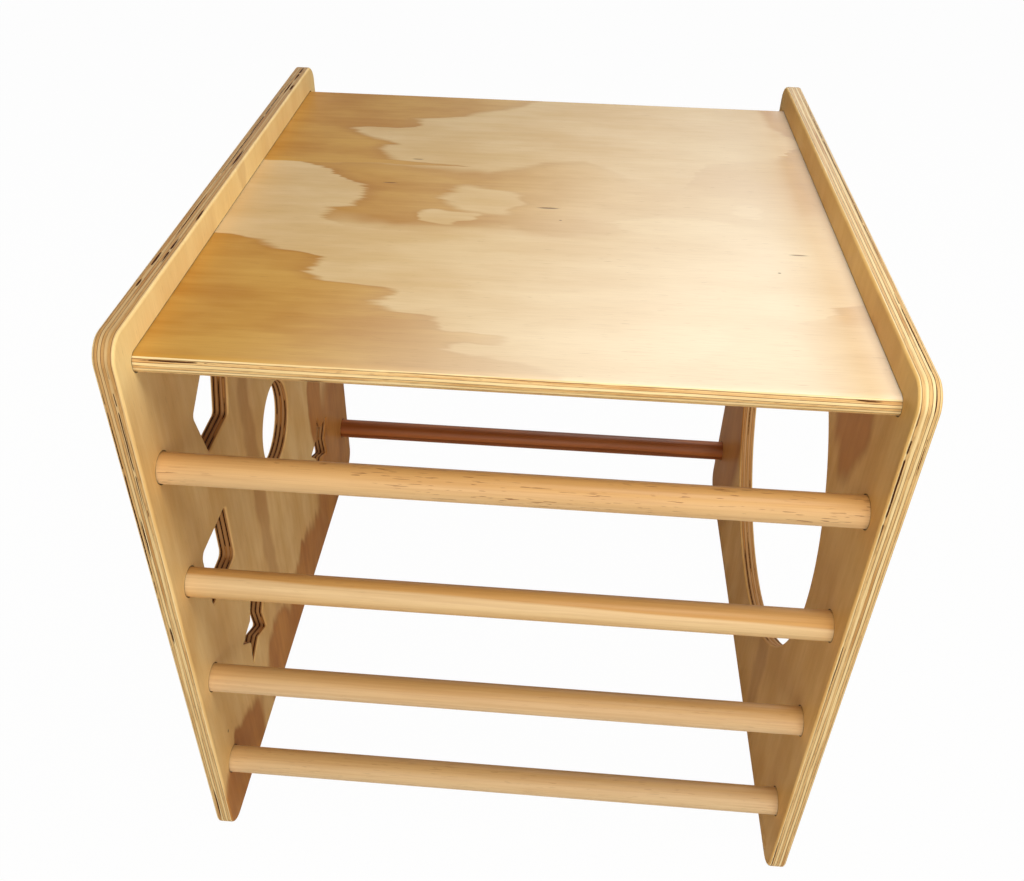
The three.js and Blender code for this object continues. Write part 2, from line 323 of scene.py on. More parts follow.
# Fronts are lines along which heartwood lies to the left (1) or the right (-1), as places across the
# grain and along it. A band lies between an upper and a lower line, as places along and across, and has
# its left end on a third one, as places across and along.
# Patches, fainter ones, islets of sapwood and specks: place along the grain, place across it, half
# length, half width. Cracks: place in the panel's own two directions, depth from its inner or lower
# face, and the half of each.
topSheet = {
    'grain': 'XY',
    'depth': 'Z',
    'low': topLow.z,
    'thickness': topHigh.z - topLow.z,
    'plies': 7,
    'seed': 3.0,
    'pale': ('dfc18f', 'd1ac73'),
    'heart': ('ca9944', 'b07623'),
    'rim': 'a1651f',
    'ragged': 12 * mm,  # how far the ends of the figure are ragged, frayed and torn
    'fray': 20 * mm,
    'tear': 60 * mm,
    'soft': 0.05,
    'strength': 0.95,
    'paintedFade': {  # painted glare: the figure grows paler along the sheet towards the right, where the lamp's sheen washes it out, but for its right end behind the front corner
        'along': (-0.24, 0.14),
        'share': 0.78,
        'backAlong': (0.255, 0.285),
        'backAcross': (-0.205, -0.185),
        'backShare': 0.8,
    },
    'paintedHighlight': {  # painted highlight: palest towards the front right corner, under the lamp's glossy glow, and painted light along the right end, against the right panel's shade
        'tone': 'f8ebd4',
        'slant': 0.6,
        'corner': (-0.10, 0.36),
        'cornerShare': 0.58,
        'weaker': (0.22, 0.29),
        'weakerShare': 0.7,
        'end': (0.272, 0.302),
        'endShare': 0.60,
    },
    'paintedLightStrip': None,
    'fronts': [
        (1, [(-0.310, 0.060), (-0.288, 0.037), (-0.279, 0.014), (-0.266, -0.047), (-0.253, -0.002),
             (-0.240, -0.002), (-0.237, -0.057), (-0.217, -0.066), (-0.214, -0.098), (-0.198, -0.111),
             (-0.182, -0.102), (-0.175, -0.111), (-0.169, -0.170), (-0.153, -0.186), (-0.124, -0.176),
             (-0.114, -0.221), (-0.095, -0.240), (-0.088, -0.273), (-0.080, -0.420)]),
        (1, [(0.070, -0.420), (0.085, -0.300), (0.090, -0.060), (0.099, -0.144), (0.118, -0.160),
             (0.137, -0.166), (0.144, -0.151), (0.160, -0.176), (0.179, -0.202), (0.190, -0.211),
             (0.196, -0.150), (0.202, -0.136), (0.226, -0.136), (0.236, -0.085), (0.247, -0.076),
             (0.270, -0.031), (0.290, -0.010), (0.310, 0.012)]),
        (-1, [(-0.310, 0.110), (-0.269, 0.127), (-0.250, 0.147), (-0.234, 0.169), (-0.217, 0.160),
              (-0.201, 0.198), (-0.195, 0.230), (-0.188, 0.263), (-0.169, 0.263), (-0.163, 0.298),
              (-0.155, 0.400)]),
        (-1, [(0.185, 0.400), (0.202, 0.298), (0.222, 0.280), (0.245, 0.263), (0.270, 0.262),
              (0.310, 0.256)]),
    ],
    'band': (
        [(-0.320, 0.090), (-0.144, 0.097), (-0.111, 0.093), (-0.047, 0.088), (-0.015, 0.102),
         (0.017, 0.121), (0.056, 0.124), (0.082, 0.105), (0.101, 0.086), (0.134, 0.073), (0.160, 0.070),
         (0.168, 0.092), (0.188, 0.131), (0.230, 0.144), (0.282, 0.163), (0.320, 0.190)],
        [(-0.320, -0.070), (-0.131, -0.072), (-0.060, -0.066), (0.020, -0.080), (0.110, -0.058),
         (0.190, -0.054), (0.240, -0.030), (0.320, -0.010)],
        [(-0.078, -0.120), (-0.069, -0.131), (-0.063, -0.176), (-0.045, -0.207), (-0.026, -0.206),
         (-0.018, -0.182), (0.021, -0.176), (0.034, -0.182), (0.053, -0.215), (0.076, -0.234),
         (0.088, -0.266), (0.095, -0.420)],
    ),
    'patches': [(0.290, -0.176, 0.030, 0.014), (0.296, 0.162, 0.016, 0.024)],
    'faint': [],
    'islets': [
        (-0.050, 0.010, 0.030, 0.028),
        (-0.084, -0.034, 0.026, 0.012),
        (-0.025, -0.266, 0.022, 0.007),
        (0.150, -0.034, 0.055, 0.020),
        (0.217, 0.008, 0.012, 0.016),
    ],
    'specks': [
        (0.018, -0.002, 0.014, 0.0022),
        (0.255, -0.077, 0.011, 0.0014),
        (-0.150, 0.041, 0.010, 0.0014),
        (-0.130, 0.105, 0.008, 0.0016),
        (0.232, -0.113, 0.002, 0.0012),
        (0.031, -0.028, 0.002, 0.0012),
    ],
    'cracks': [
        (-0.262, -0.300, 0.0145, 0.035, 0.020, 0.0006),
        (-0.155, -0.300, 0.0035, 0.012, 0.020, 0.0007),
        (0.272, -0.300, 0.0148, 0.012, 0.020, 0.0005),
    ],
    'gaps': 0.15,  # lower gives more of the edge open gaps, and gapRun sets how short they are
    'gapRun': 24,
    'burnAndShade': None,
    'paintedShadeAbove': None,
    'slots': 0,
}
leftSheet = {
    'grain': 'ZY',
    'depth': 'X',
    'low': innerX,
    'thickness': outerX - innerX,
    'plies': 7,
    'seed': 11.0,
    'pale': ('f4cf8d', 'e2b36c'),
    'heart': ('cb8536', 'a65e1c'),
    'rim': '965119',
    'ragged': 20 * mm,
    'fray': 9 * mm,
    'tear': 30 * mm,
    'soft': 0.16,
    'strength': 0.84,
    'paintedFade': None,
    'paintedHighlight': None,
    'paintedLightStrip': {  # painted light: paler above the top, where the lamp from the right falls on the strip
        'tone': 'ffe4a0',
        'heights': (topLow.z - 40 * mm, topHigh.z + 12 * mm),
        'share': 0.42,
    },
    'fronts': [],
    'band': None,
    'patches': [
        (0.032, -0.266, 0.074, 0.086),
        (0.034, -0.108, 0.082, 0.060),
        (0.016, 0.040, 0.088, 0.130),
        (0.240, 0.165, 0.085, 0.040),
        # painted shade: this patch darkens the rear lower part of the inner face, which lies in shadow under
        # the top
        (0.080, 0.265, 0.180, 0.165),
    ],
    'faint': [
        (0.330, -0.088, 0.360, 0.023),
        (0.648, 0.012, 0.034, 0.014),
    ],
    'islets': [(0.330, -0.250, 0.020, 0.006)],
    'specks': [(0.130, -0.290, 0.003, 0.002)],
    'cracks': [
        (-0.195, 0.660, 0.0131, 0.020, 0.020, 0.0013),
        (-0.235, 0.660, 0.0128, 0.008, 0.020, 0.0012),
        (-0.178, 0.660, 0.0066, 0.028, 0.020, 0.0013),
        (-0.110, 0.660, 0.0029, 0.015, 0.020, 0.0012),
        (0.022, 0.660, 0.0067, 0.026, 0.020, 0.0013),
        (0.233, 0.660, 0.0080, 0.026, 0.020, 0.0012),
        (0.235, 0.660, 0.0040, 0.012, 0.020, 0.0015),
        (0.284, 0.660, 0.0070, 0.030, 0.020, 0.0016),
        (-0.105, 0.660, 0.0108, 0.060, 0.020, 0.0007),
        (0.120, 0.660, 0.0114, 0.200, 0.020, 0.0007),
        (-0.330, 0.490, 0.0155, 0.020, 0.160, 0.0008),
        (-0.330, 0.330, 0.0120, 0.020, 0.014, 0.0010),
        (-0.330, 0.455, 0.0120, 0.020, 0.030, 0.0007),
        (-0.330, 0.050, 0.0122, 0.020, 0.035, 0.0008),
        (-0.330, 0.560, 0.0063, 0.020, 0.090, 0.0006),
        (-0.310, 0.002, 0.0145, 0.030, 0.008, 0.0016),
    ],
    'gaps': 0.12,
    'gapRun': 24,
    'burnAndShade': 0.9,  # the cut-out walls are darker than the outer edge: burn from cutting, with painted shade, as the walls lie in shadow
    'paintedShadeAbove': (0.38, 0.65, 0.42),  # painted shade: the edge's ends are browner higher up, where less light falls on the left panel: low, high and share
    'slots': 0.38,  # more gaps in the burnt walls
}
rightSheet = {
    **leftSheet,
    'seed': 29.0,
    'pale': ('ecc17b', 'd9a65c'),
    'heart': ('bf7a38', 'a96226'),
    'rim': '91501c',
    'soft': 0.22,
    'strength': 0.75,
    # painted light on the right panel's strip above the top as well, weaker and more amber
    'paintedLightStrip': {**leftSheet['paintedLightStrip'], 'tone': 'eec26a', 'share': 0.30},
    'patches': [
        (0.560, -0.208, 0.090, 0.058),
        (0.180, 0.300, 0.280, 0.150),
    ],
    'faint': [
        (0.100, -0.130, 0.100, 0.030),
        (0.645, -0.225, 0.030, 0.055),
    ],
    'islets': [(0.460, -0.322, 0.110, 0.010)],
    'specks': [(0.470, 0.300, 0.004, 0.002)],
    'cracks': [
        (-0.255, 0.660, 0.0125, 0.090, 0.020, 0.0006),
        (0.060, 0.660, 0.0140, 0.260, 0.020, 0.0005),
        (-0.324, 0.646, 0.0128, 0.014, 0.014, 0.0006),
        (-0.330, 0.570, 0.0027, 0.020, 0.085, 0.0009),
        (-0.330, 0.350, 0.0027, 0.020, 0.050, 0.0005),
        (-0.330, 0.035, 0.0027, 0.020, 0.035, 0.0005),
    ],
    'gaps': 0.14,
    'gapRun': 9,
    'burnAndShade': 0.75,
    'paintedShadeAbove': None,
    'slots': 0.20,
}


def patchField(tree, place, patches):  # above zero inside any of the patches
    field = None
    for patch in patches:
        count = len(patch) // 2
        unused = [0] * (3 - count)
        squeeze = [1 / half for half in patch[count:]]
        offset = [-middle * scale for middle, scale in zip(patch[:count], squeeze)]
        squeezed = vectors(tree, 'MULTIPLY_ADD', place, squeeze + unused, offset + unused)
        inside = restOf(tree, measure(tree, 'LENGTH', squeezed))
        field = higher(tree, field, inside, veneer['patchBlur'])
    return field


def heartField(tree, along, sideways, torn, sheet):  # above zero in the heartwood, and more further in
    field = None
    for way, points in sheet['fronts']:
        line = drawnLine(tree, sideways, points)
        field = higher(tree, field, times(tree, minus(tree, line, along), veneer['deepening'] * way))
    if sheet['band']:
        upperLine, lowerLine, leftEnd = sheet['band']
        upper = minus(tree, drawnLine(tree, along, upperLine), sideways)
        lower = minus(tree, sideways, drawnLine(tree, along, lowerLine))
        lower = times(tree, lower, veneer['bandShare'])
        start = minus(tree, along, drawnLine(tree, sideways, leftEnd))
        inside = maths(tree, 'MINIMUM', maths(tree, 'MINIMUM', upper, lower), start)
        field = higher(tree, field, times(tree, inside, veneer['deepening']), veneer['bandBlur'])
    if sheet['patches']:
        field = higher(tree, field, patchField(tree, torn, sheet['patches']))
    islets = patchField(tree, torn, sheet['islets'])
    return maths(tree, 'MINIMUM', field, times(tree, islets, -veneer['isletShare']))


def heartWeight(tree, along, sideways, heart, sheet):  # how strongly the heartwood's colour shows
    weight = times(tree, heart, sheet['strength'])
    # painted glare: on the top, the heartwood's colour is washed out towards the right
    paintedFade = sheet['paintedFade']
    if not paintedFade:
        return weight
    back = times(tree, rise(tree, along, *paintedFade['backAlong']), rise(tree, sideways, *paintedFade['backAcross']))
    gone = times(tree, rise(tree, along, *paintedFade['along']), paintedFade['share'])
    gone = times(tree, gone, restOf(tree, times(tree, back, paintedFade['backShare'])))
    return times(tree, weight, restOf(tree, gone))


# painted highlight and painted light: paler towards the top's front right corner and along its right end
def paintHighlight(tree, along, sideways, colour, look):
    corner = minus(tree, along, times(tree, sideways, look['slant']))
    corner = rise(tree, corner, *look['corner'])
    weaker = times(tree, rise(tree, along, *look['weaker']), look['weakerShare'])
    corner = times(tree, corner, restOf(tree, weaker))
    colour = blend(tree, times(tree, corner, look['cornerShare']), colour, tone(look['tone']))
    end = times(tree, rise(tree, along, *look['end']), look['endShare'])
    return blend(tree, end, colour, tone(look['tone']))


def veneerFace(tree, along, sideways, sheet, outerSide):
    seed = sheet['seed']
    flat = joined(tree, along, sideways, 1.0)
    shift = plus(tree, along, swing(tree, pattern(tree, flat, veneer['ragged'], seed), sheet['ragged']))
    shift = plus(tree, shift, swing(tree, pattern(tree, flat, veneer['fray'], seed), sheet['fray']))
    drift = swing(tree, pattern(tree, flat, veneer['drift'], seed), veneer['driftWidth'])
    drift = plus(tree, sideways, drift)
    torn = plus(tree, shift, swing(tree, pattern(tree, flat, veneer['tear'], seed), sheet['tear']))
    sideTear = swing(tree, pattern(tree, flat, veneer['sideTear'], seed), veneer['sideTearWidth'])
    torn = joined(tree, torn, plus(tree, drift, sideTear), 0.0)
    bent = joined(tree, shift, drift, 1.0)
    field = heartField(tree, shift, drift, torn, sheet)
    outer = minus(tree, pattern(tree, bent, veneer['outerFigure'], seed), veneer['outerLevel'])
    field = mixed(tree, outerSide, field, times(tree, outer, veneer['outerDeepening']))
    soft = ranged(tree, pattern(tree, flat, veneer['softness'], seed), sheet['soft'],
                  sheet['soft'] + veneer['softnessMore'], *veneer['softnessRange'])
    heart = rise(tree, field, 0.0, soft)
    rim = restOf(tree, rise(tree, field, 0.0, veneer['rimReach']))
    cloud = times(tree, pattern(tree, bent, veneer['cloud'], seed), veneer['cloudShare'])
    streak = times(tree, pattern(tree, flat, veneer['streak'], seed), 1 - veneer['cloudShare'])
    mottle = plus(tree, cloud, streak)
    amber = between(tree, mottle, sheet['heart'])
    amber = blend(tree, times(tree, rim, veneer['rimShare']), amber, tone(sheet['rim']))
    if sheet['faint']:
        faint = rise(tree, patchField(tree, torn, sheet['faint']), 0.0, veneer['faintReach'])
        heart = higher(tree, heart, times(tree, faint, veneer['faintShare']))
    weight = heartWeight(tree, along, sideways, heart, sheet)
    colour = blend(tree, weight, between(tree, mottle, sheet['pale']), amber)
    # painted highlight on the top
    if sheet['paintedHighlight']:
        colour = paintHighlight(tree, along, sideways, colour, sheet['paintedHighlight'])
    # painted light: the strip above the top is paler
    if sheet['paintedLightStrip']:
        above = times(tree, rise(tree, along, *sheet['paintedLightStrip']['heights']), sheet['paintedLightStrip']['share'])
        colour = blend(tree, above, colour, tone(sheet['paintedLightStrip']['tone']))
    pores = pattern(tree, flat, veneer['pores'], seed)
    flecks = times(tree, pattern(tree, flat, veneer['flecks'], seed), veneer['fleckShare'])
    dark = plus(tree, times(tree, rise(tree, pores, *veneer['poreRise']), veneer['poreShare']), flecks)
    colour = blend(tree, dark, colour, tone(veneer['fleck']))
    knots = patchField(tree, joined(tree, along, sideways, 0.0), sheet['specks'])
    knots = times(tree, rise(tree, knots, 0.0, veneer['knotReach']), restOf(tree, outerSide))
    colour = blend(tree, times(tree, knots, veneer['knotShare']), colour, tone(veneer['knot']))
    height = minus(tree, times(tree, pores, veneer['poreDepth']), times(tree, knots, veneer['knotDepth']))
    return colour, height


def plyEdge(tree, axes, depth, sheet, burnAndShade):
    first, second = axes
    flat = joined(tree, first, second, 1.0)
    run = joined(tree, first, second, depth)
    wave = swing(tree, pattern(tree, flat, edge['wave'], sheet['seed']), edge['waveShare'])
    level = plus(tree, maths(tree, 'DIVIDE', depth, sheet['thickness'] / sheet['plies']), wave)
    number = maths(tree, 'FLOOR', level)
    isEnd = maths(tree, 'FLOORED_MODULO', number, 2.0)
    offMiddle = maths(tree, 'ABSOLUTE', minus(tree, maths(tree, 'FRACT', level), 0.5))
    perPly = joined(tree, first, second, number)
    perLine = joined(tree, first, second, maths(tree, 'ROUND', level))
    streak = pattern(tree, run, edge['streak'])
    marks = times(tree, pattern(tree, run, edge['marks']), edge['marksShare'])
    endWood = blend(tree, marks, between(tree, streak, edge['end']), tone(edge['glue']))
    wood = blend(tree, isEnd, between(tree, streak, edge['long']), endWood)
    everywhere, onEnds = edge['stainShares']
    stained = plus(tree, everywhere, times(tree, isEnd, onEnds))
    stain = times(tree, pattern(tree, perPly, edge['stain']), stained)
    wood = blend(tree, stain, wood, tone(edge['amber']))
    # painted shade: the left panel's edges are browner higher up
    if sheet['paintedShadeAbove']:
        low, high, share = sheet['paintedShadeAbove']
        wood = blend(tree, times(tree, rise(tree, second, low, high), share), wood, tone(edge['amber']))
    # burn and painted shade darken the cut-out walls
    wood = blend(tree, times(tree, burnAndShade, edge['burntAndShadedShare']), wood, tone(edge['burntAndShaded']))
    line = times(tree, rise(tree, offMiddle, *edge['glueRise']), pattern(tree, perLine, edge['glueHere']))
    wood = blend(tree, times(tree, line, edge['glueShare']), wood, tone(edge['glue']))
    limit = minus(tree, edge['gapLimit'] + sheet['gaps'], times(tree, burnAndShade, sheet['slots']))
    opening = noise(tree, perPly, (sheet['gapRun'], sheet['gapRun'], edge['gapSeed']), 1.0)
    opening = times(tree, minus(tree, opening, limit), edge['gapOpening'])
    splinters = swing(tree, pattern(tree, run, edge['splinters']), edge['splinterShare'])
    plain, burntMore = edge['gapWidths']
    widest = plus(tree, plain, times(tree, burnAndShade, burntMore))
    wide = minus(tree, maths(tree, 'MINIMUM', plus(tree, opening, splinters), widest), offMiddle)
    gap = times(tree, rise(tree, wide, 0.0, edge['gapBlur']), isEnd)
    if sheet['cracks']:
        wavy = plus(tree, depth, swing(tree, pattern(tree, run, edge['crackWave']), edge['crackWaveWidth']))
        crack = patchField(tree, joined(tree, first, second, wavy), sheet['cracks'])
        crack = minus(tree, crack, pattern(tree, run, edge['crackBreaks']))
        gap = higher(tree, gap, rise(tree, crack, 0.0, edge['crackReach']))
    colour = blend(tree, gap, wood, between(tree, burnAndShade, edge['gap']))
    height = times(tree, plus(tree, gap, times(tree, line, edge['glueDepth'])), -1.0)
    return colour, height, gap


def paintedJointShade(tree, axes, depth):  # painted shade: a dark line on the side's inner face round the top and round each rung, where the joint's gap lies in shadow
    flat = joined(tree, 0.0, axes[1], axes[2])
    middle, half = (topLow + topHigh) / 2, (topHigh - topLow) / 2
    corner = (0, half.y - jointShadeSizes['topRound'], half.z - jointShadeSizes['topRound'])
    away = vectors(tree, 'ABSOLUTE', vectors(tree, 'SUBTRACT', flat, (0, middle.y, middle.z)))
    away = vectors(tree, 'MAXIMUM', vectors(tree, 'SUBTRACT', away, corner), (0, 0, 0))
    nearest = maths(tree, 'ABSOLUTE', minus(tree, measure(tree, 'LENGTH', away), jointShadeSizes['topRound']))
    for name in rungNodes:
        low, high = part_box(name)
        centre = (0, (low.y + high.y) / 2, (low.z + high.z) / 2)
        away = minus(tree, measure(tree, 'DISTANCE', flat, centre), (high.z - low.z) / 2)
        nearest = maths(tree, 'MINIMUM', nearest, maths(tree, 'ABSOLUTE', away))
    near = restOf(tree, rise(tree, nearest, jointShadeSizes['half'], jointShadeSizes['half'] + jointShadeSizes['paintedFade']))
    return times(tree, near, restOf(tree, rise(tree, depth, *jointShadeSizes['depths'])))


def plywood(name, sheet):
    made, tree, shader = newMaterial(name)
    place, axes = objectPlace(tree)
    along, sideways = axes['XYZ'.index(sheet['grain'][0])], axes['XYZ'.index(sheet['grain'][1])]
    upright = sheet['depth'] == 'X'
    depth = minus(tree, maths(tree, 'ABSOLUTE', axes['XYZ'.index(sheet['depth'])]), sheet['low'])
    outerSide = rise(tree, depth, *[sheet['thickness'] * share for share in lacquer['middleShares']])
    if not upright:  # the upper face of the top is its good face
        outerSide = restOf(tree, outerSide)
    faceColour, faceHeight = veneerFace(tree, along, sideways, sheet, outerSide)
    burnAndShade = 0.0
    if sheet['burnAndShade']:
        offCentre = maths(tree, 'ABSOLUTE', minus(tree, axes[2], panelHigh.z / 2))
        fromCentre = maths(tree, 'MAXIMUM', offCentre, maths(tree, 'ABSOLUTE', axes[1]))
        burnAndShade = times(tree, restOf(tree, rise(tree, fromCentre, *lacquer['routedReach'])), sheet['burnAndShade'])
    edgeAxes = (sideways, along) if upright else (along, sideways)
    edgeColour, edgeHeight, gap = plyEdge(tree, edgeAxes, depth, sheet, burnAndShade)
    toFace = maths(tree, 'MINIMUM', depth, minus(tree, sheet['thickness'], depth))
    onFace = rise(tree, toFace, edge['skin'] - edge['skinBlur'], edge['skin'] + edge['skinBlur'])
    onFace = restOf(tree, onFace)
    if upright:
        # painted shade along the joints
        jointShade = times(tree, paintedJointShade(tree, axes, depth), jointShadeSizes['share'])
        faceColour = blend(tree, jointShade, faceColour, tone(edge['gap'][1]))
    feed(tree, shader.inputs['Base Color'], blend(tree, onFace, edgeColour, faceColour))
    roughen(tree, shader, mixed(tree, onFace, edgeHeight, faceHeight), lacquer['bumpDepth'])
    gloss = ranged(tree, pattern(tree, place, lacquer['cloud']), *lacquer['roughness'])
    dull = higher(tree, gap, times(tree, burnAndShade, lacquer['burntDullness']))  # gaps and burnt walls shine less
    dull = times(tree, times(tree, dull, restOf(tree, onFace)), lacquer['dullness'])
    feed(tree, shader.inputs['Roughness'], plus(tree, gloss, dull))
    shader.inputs['Specular IOR Level'].default_value = lacquer['specular']
    return made


materials = {
    'top': plywood('plywoodTop', topSheet),
    'left': plywood('plywoodLeft', leftSheet),
    'right': plywood('plywoodRight', rightSheet),
}

# Pine dowel: growth rings cut lengthwise make long bands, with short brown resin marks among them.
# Of each dowel: where its rings lie, in degrees, their spacing, the bands' place and slant, the tones of
# early and late wood, and how dark the marks are.

pine = {
    'bow': {'stretch': (2.2, 14, 14)},
    'bowWidth': 16 * mm,
    'lateRise': (0.15, 0.88),
    'lateFall': (0.93, 1.0),
    'fibre': 'a86f3a',
    'fibres': {'stretch': (7, 420, 420), 'detail': 4.0, 'roughness': 0.65, 'rise': (0.38, 0.66)},
    'fibreShare': 0.22,
    'fibreDepth': 0.15,
    'mark': '7c4a22',
    'marks': {'stretch': (60, 760, 760), 'detail': 1.0, 'rise': (0.65, 0.71)},
    'markPatches': {'stretch': (5, 40, 40), 'detail': 1.0, 'rise': (0.42, 0.56)},
    'markDepth': 0.5,
    'bumpDepth': 0.15 * mm,
    'roughness': (0.46, 0.36),
    'specular': 0.22,
}
dowels = {
    'front_rung_4': {'seed': 2.0, 'turn': 62, 'spacing': 40 * mm, 'phase': 0.50, 'tilt': 0.004,
                     'tones': ('dcb682', 'cd9c5c'), 'marks': 0.70},
    'front_rung_3': {'seed': 5.0, 'turn': 242, 'spacing': 34 * mm, 'phase': 0.19, 'tilt': -0.015,
                     'tones': ('debc88', 'cf9c58'), 'marks': 0.15},
    'front_rung_2': {'seed': 9.0, 'turn': 62, 'spacing': 36 * mm, 'phase': 0.45, 'tilt': 0.006,
                     'tones': ('dcba8c', 'cb9e60'), 'marks': 0.15},
    'front_rung_1': {'seed': 14.0, 'turn': 62, 'spacing': 32 * mm, 'phase': 0.40, 'tilt': -0.005,
                     'tones': ('dcbc8e', 'cda368'), 'marks': 0.20},
    # painted shade: the rear rung's tones are darker and redder than the other rungs' for the shade under the
    # top; it is the same pine
    'rear_rung': {'seed': 21.0, 'turn': 85, 'spacing': 14 * mm, 'phase': 0.0, 'tilt': 0.004,
                  'tones': ('a8612e', '80431b'), 'marks': 0.30},
}


def pineDowel(name, look, middle):
    made, tree, shader = newMaterial(name)
    place, _ = objectPlace(tree)
    place = vectors(tree, 'SUBTRACT', place, (0, middle.y, middle.z))
    x, y, z = node(tree, 'ShaderNodeSeparateXYZ', [(0, place)]).outputs
    turn = math.radians(look['turn'])
    seeded = vectors(tree, 'ADD', place, (look['seed'], look['seed'], look['seed']))
    slant = plus(tree, times(tree, y, math.cos(turn)), times(tree, z, math.sin(turn)))
    slant = plus(tree, slant, times(tree, x, look['tilt']))
    bow = swing(tree, pattern(tree, seeded, pine['bow']), pine['bowWidth'])
    level = maths(tree, 'DIVIDE', plus(tree, slant, bow), look['spacing'])
    part = maths(tree, 'FRACT', plus(tree, level, look['phase']))
    late = times(tree, rise(tree, part, *pine['lateRise']), restOf(tree, rise(tree, part, *pine['lateFall'])))
    fibres = pattern(tree, seeded, pine['fibres'])
    marks = times(tree, pattern(tree, seeded, pine['marks']), pattern(tree, seeded, pine['markPatches']))
    colour = between(tree, late, look['tones'])
    colour = blend(tree, times(tree, fibres, pine['fibreShare']), colour, tone(pine['fibre']))
    colour = blend(tree, times(tree, marks, look['marks']), colour, tone(pine['mark']))
    feed(tree, shader.inputs['Base Color'], colour)
    height = minus(tree, times(tree, fibres, pine['fibreDepth']), times(tree, marks, pine['markDepth']))
    roughen(tree, shader, height, pine['bumpDepth'])
    feed(tree, shader.inputs['Roughness'], ranged(tree, late, *pine['roughness']))
    shader.inputs['Specular IOR Level'].default_value = pine['specular']
    return made


# Zinc-plated steel, for all bolts and nuts

zinc = {
    'tones': ('c9cbcd', 'aeb2b4'),
    'cloud': {'stretch': (240, 240, 240), 'detail': 3.0},
    'cloudRise': (0.35, 0.65),
    'scratches': {'stretch': (90, 2600, 2600)},
    'scratchDepth': 0.01 * mm,
    'roughness': (0.25, 0.45),
}


def zincSteel(name):
    made, tree, shader = newMaterial(name)
    place, _ = objectPlace(tree)
    cloud = pattern(tree, place, zinc['cloud'])
    colour = between(tree, rise(tree, cloud, *zinc['cloudRise']), zinc['tones'])
    feed(tree, shader.inputs['Base Color'], colour)
    feed(tree, shader.inputs['Roughness'], ranged(tree, cloud, *zinc['roughness']))
    roughen(tree, shader, pattern(tree, place, zinc['scratches']), zinc['scratchDepth'])
    shader.inputs['Metallic'].default_value = 1.0
    return made


materials['zinc'] = zincSteel('zincSteel')
print('materials made:', len(bpy.data.materials))

# Outlines, drawn in the plane of a side panel as Y and Z and going anticlockwise


def roundedLoop(corners, steps):  # each corner is a point and the radius of its rounding
    loop = []
    for i, (point, radius) in enumerate(corners):
        toBefore = (corners[i - 1][0] - point).normalized()
        toAfter = (corners[(i + 1) % len(corners)][0] - point).normalized()
        halfAngle = toBefore.angle(toAfter) / 2
        middle = point + (toBefore + toAfter).normalized() * radius / math.sin(halfAngle)
        spoke = point + toBefore * radius / math.tan(halfAngle) - middle
        turn = (math.pi - 2 * halfAngle) * (1 if toBefore.cross(toAfter) < 0 else -1)
        for step in range(steps + 1):
            angle = turn * step / steps
            turned = Vector((spoke.x * math.cos(angle) - spoke.y * math.sin(angle),
                             spoke.x * math.sin(angle) + spoke.y * math.cos(angle)))
            loop.append(middle + turned)
    return loop


def rectangleLoop(low, high, radius, steps):
    points = [(low[0], low[1]), (high[0], low[1]), (high[0], high[1]), (low[0], high[1])]
    return roundedLoop([(Vector(point), radius) for point in points], steps)


def circleLoop(middle, radius, steps):
    angles = [math.tau * i / steps for i in range(steps)]
    return [middle + Vector((math.cos(a), math.sin(a))) * radius for a in angles]


def pointUp(radius, angle):
    return Vector((-math.sin(angle), math.cos(angle))) * radius


def offsetLoop(loop, distance):  # moves an anticlockwise loop inwards, or outwards where distance is negative
    moved = []
    for i, point in enumerate(loop):
        before = (point - loop[i - 1]).normalized()
        after = (loop[(i + 1) % len(loop)] - point).normalized()
        left = Vector((-before.y - after.y, before.x + after.x)).normalized()
        slant = left.dot(Vector((-after.y, after.x)))
        moved.append(point + left * distance / slant)
    return moved


def quarterTurn(steps):
    return [math.pi / 2 * step / steps for step in range(steps + 1)]


# Solids


def asObject(work, name):
    bmesh.ops.recalc_face_normals(work, faces=work.faces)
    mesh = bpy.data.meshes.new(name)
    work.to_mesh(mesh)
    work.free()
    made = bpy.data.objects.new(name, mesh)
    bpy.context.scene.collection.objects.link(made)
    return made


def smoothFaces(piece, sharpDegrees=32):
    piece.data.shade_smooth()
    piece.data.set_sharp_from_angle(angle=math.radians(sharpDegrees))
    weighted = piece.modifiers.new('flatFaces', 'WEIGHTED_NORMAL')
    weighted.keep_sharp = True


def bridge(work, first, second):
    count = max(len(first), len(second))
    for i in range(count):
        j = (i + 1) % count
        corners = [first[i % len(first)], first[j % len(first)]]
        corners += [second[j % len(second)], second[i % len(second)]]
        work.faces.new(list(dict.fromkeys(corners)))


def slab(name, outline, holes, lowX, thickness, edgeRound, roundSteps):
    work = bmesh.new()
    profile = [(edgeRound * (1 - math.cos(angle)), edgeRound * (1 - math.sin(angle)))
               for angle in quarterTurn(roundSteps)]
    profile += [(thickness - depth, offset) for depth, offset in reversed(profile)]
    caps = [[], []]
    for loop, inward in [(outline, 1)] + [(hole, -1) for hole in holes]:
        rings = []
        for depth, offset in profile:
            points = offsetLoop(loop, offset * inward)
            rings.append([work.verts.new((lowX + depth, point.x, point.y)) for point in points])
        for first, second in zip(rings, rings[1:]):
            bridge(work, first, second)
        for cap, ring in zip(caps, (rings[0], rings[-1])):
            cap += [work.edges.get((ring[i - 1], ring[i])) for i in range(len(ring))]
    for cap, direction in zip(caps, (-across, across)):
        bmesh.ops.triangle_fill(work, use_beauty=True, edges=cap, normal=direction)
    return asObject(work, name)


